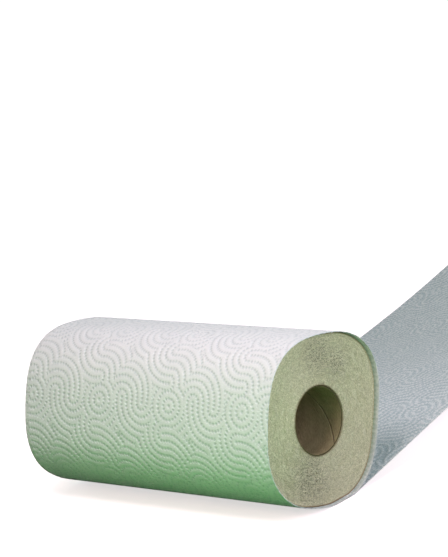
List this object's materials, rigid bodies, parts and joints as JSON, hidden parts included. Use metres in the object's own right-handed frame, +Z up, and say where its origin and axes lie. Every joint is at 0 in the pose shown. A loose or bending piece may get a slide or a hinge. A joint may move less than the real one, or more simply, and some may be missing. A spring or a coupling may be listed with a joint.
{
  "type": "paper towel roll",
  "caption": "Soft kitchen paper towel roll lying on its side, with a cardboard core, an outer turn slid forward and the last sheets drawn off behind it.",
  "frame": {"origin": "on the floor at the roll's flat spot, under the axis of the core and half way along the outer turn", "axes": "+X along the core, towards the end where the outer turn stands proud; +Y the way the drawn-off sheets run; +Z up from the floor"},
  "size_m": [0.234, 0.4998, 0.1158],
  "materials": {
    "towel_paper": "soft, matt, embossed with rows of dots",
    "core_board": "matt brown board, spiral wound"
  },
  "bodies": {
    "root": {"paper_web": "towel_paper", "core_tube": "core_board"}
  },
  "joints": []
}
